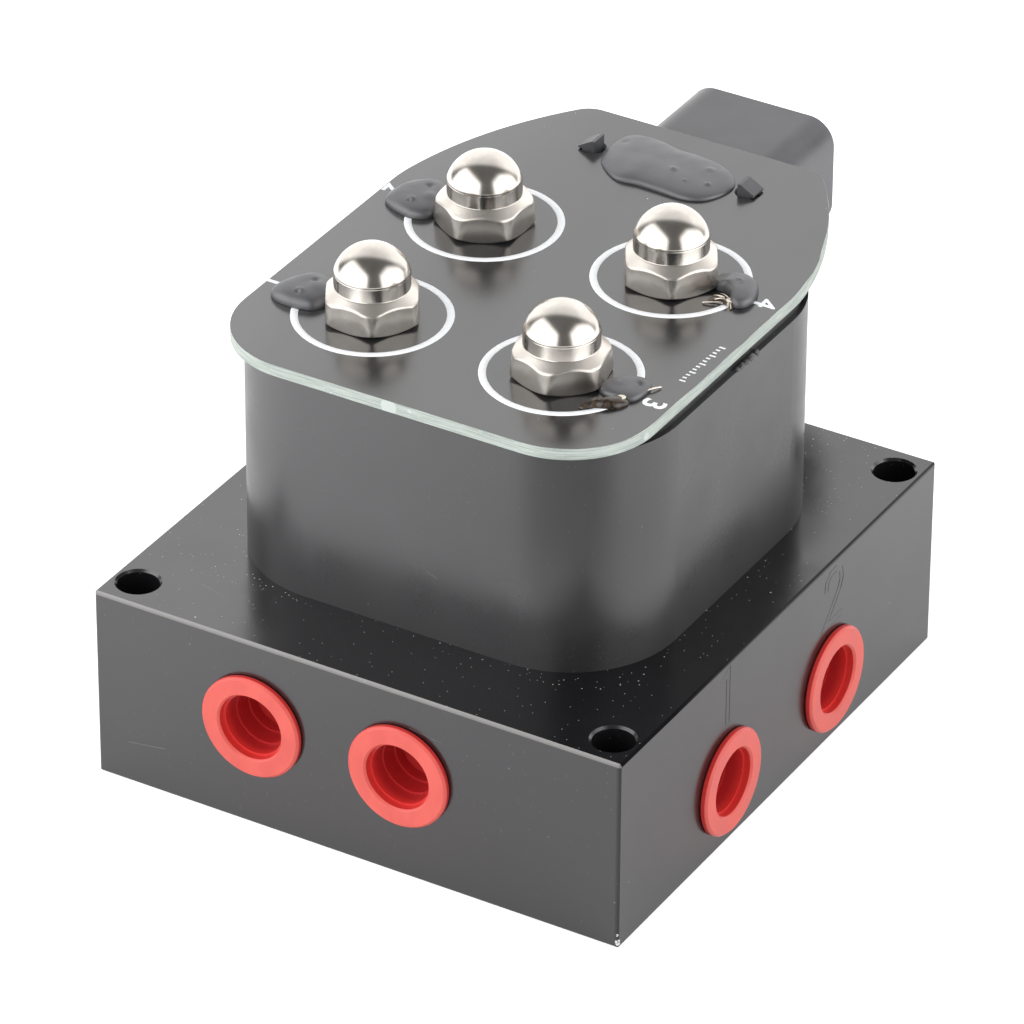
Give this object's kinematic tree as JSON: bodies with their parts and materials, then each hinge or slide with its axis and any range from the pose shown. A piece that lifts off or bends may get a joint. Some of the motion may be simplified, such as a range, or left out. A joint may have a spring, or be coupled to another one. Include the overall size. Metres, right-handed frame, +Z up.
{
  "type": "solenoid valve block",
  "caption": "Drilled manifold block with solenoid valves under a rounded housing, a connection board clamped by cap nuts, plugged ports and a rear connector.",
  "frame": {"origin": "centre of the block's underside, in the middle of the four mounting holes", "axes": "+Z up along the mounting holes, -Y the face with the two common ports, +X the face with the two numbered ports, +Y the way the connector points"},
  "size_m": [0.0851, 0.1146, 0.0783],
  "materials": {
    "black_anodised": "satin black anodised aluminium",
    "black_rubber": "matte rubber",
    "black_sealant": "glossy sealant",
    "board_mask": "glossy black solder mask on pale laminate",
    "nickel_plate": "polished nickel plate",
    "plated_steel": "zinc plated steel",
    "stainless_steel": "turned stainless steel",
    "tinned_brass": "tin plated brass",
    "black_epoxy": "glossy cured epoxy",
    "black_nylon": "fine grained moulded nylon",
    "red_plastic": "smooth moulded polyethylene",
    "brown_rubber": "fluorocarbon rubber",
    "grey_nylon": "moulded nylon",
    "copper_wire": "enamelled copper wire"
  },
  "bodies": {
    "valve_body": {"manifold_block": "black_anodised", "coil_housing": "black_anodised", "foot_seal": "black_rubber", "rim_seal": "black_sealant", "connection_board": "board_mask", "cap_nuts": "nickel_plate", "flange_seals": "black_rubber", "flux_washers": "plated_steel", "coil_terminals": "tinned_brass", "epoxy_dabs": "black_epoxy", "connector_shell": "black_nylon", "connector_pins": "tinned_brass", "connector_epoxy": "black_epoxy", "feed_1_guide_tube": "stainless_steel", "feed_1_fixed_core": "stainless_steel", "feed_1_return_spring": "stainless_steel", "feed_1_bobbin": "grey_nylon", "feed_1_winding": "copper_wire", "feed_1_yoke": "plated_steel", "vent_1_guide_tube": "stainless_steel", "vent_1_fixed_core": "stainless_steel", "vent_1_return_spring": "stainless_steel", "vent_1_bobbin": "grey_nylon", "vent_1_winding": "copper_wire", "vent_1_yoke": "plated_steel", "feed_2_guide_tube": "stainless_steel", "feed_2_fixed_core": "stainless_steel", "feed_2_return_spring": "stainless_steel", "feed_2_bobbin": "grey_nylon", "feed_2_winding": "copper_wire", "feed_2_yoke": "plated_steel", "vent_2_guide_tube": "stainless_steel", "vent_2_fixed_core": "stainless_steel", "vent_2_return_spring": "stainless_steel", "vent_2_bobbin": "grey_nylon", "vent_2_winding": "copper_wire", "vent_2_yoke": "plated_steel"},
    "feed_1_armature": {"feed_1_plunger": "stainless_steel", "feed_1_plunger_disc": "brown_rubber"},
    "vent_1_armature": {"vent_1_plunger": "stainless_steel", "vent_1_plunger_disc": "brown_rubber"},
    "feed_2_armature": {"feed_2_plunger": "stainless_steel", "feed_2_plunger_disc": "brown_rubber"},
    "vent_2_armature": {"vent_2_plunger": "stainless_steel", "vent_2_plunger_disc": "brown_rubber"},
    "feed_port_plug_body": {"feed_port_plug": "red_plastic"},
    "vent_port_plug_body": {"vent_port_plug": "red_plastic"},
    "port_1_plug_body": {"port_1_plug": "red_plastic"},
    "port_2_plug_body": {"port_2_plug": "red_plastic"}
  },
  "joints": [
    {"name": "feed_1_lift", "type": "slide", "parent": "valve_body", "child": "feed_1_armature", "axis": [0, 0, 1], "range_m": [0, 0.0015], "stiffness_N_per_m": 400, "springref_m": -0.006, "deforming": ["feed_1_return_spring"]},
    {"name": "vent_1_lift", "type": "slide", "parent": "valve_body", "child": "vent_1_armature", "axis": [0, 0, 1], "range_m": [0, 0.0015], "stiffness_N_per_m": 400, "springref_m": -0.006, "deforming": ["vent_1_return_spring"]},
    {"name": "feed_2_lift", "type": "slide", "parent": "valve_body", "child": "feed_2_armature", "axis": [0, 0, 1], "range_m": [0, 0.0015], "stiffness_N_per_m": 400, "springref_m": -0.006, "deforming": ["feed_2_return_spring"]},
    {"name": "vent_2_lift", "type": "slide", "parent": "valve_body", "child": "vent_2_armature", "axis": [0, 0, 1], "range_m": [0, 0.0015], "stiffness_N_per_m": 400, "springref_m": -0.006, "deforming": ["vent_2_return_spring"]},
    {"name": "feed_port_plug_pull", "type": "slide", "parent": "valve_body", "child": "feed_port_plug_body", "axis": [0, -1, 0], "range_m": [0, 0.0095]},
    {"name": "vent_port_plug_pull", "type": "slide", "parent": "valve_body", "child": "vent_port_plug_body", "axis": [0, -1, 0], "range_m": [0, 0.0095]},
    {"name": "port_1_plug_pull", "type": "slide", "parent": "valve_body", "child": "port_1_plug_body", "axis": [1, 0, 0], "range_m": [0, 0.0095]},
    {"name": "port_2_plug_pull", "type": "slide", "parent": "valve_body", "child": "port_2_plug_body", "axis": [1, 0, 0], "range_m": [0, 0.0095]}
  ]
}
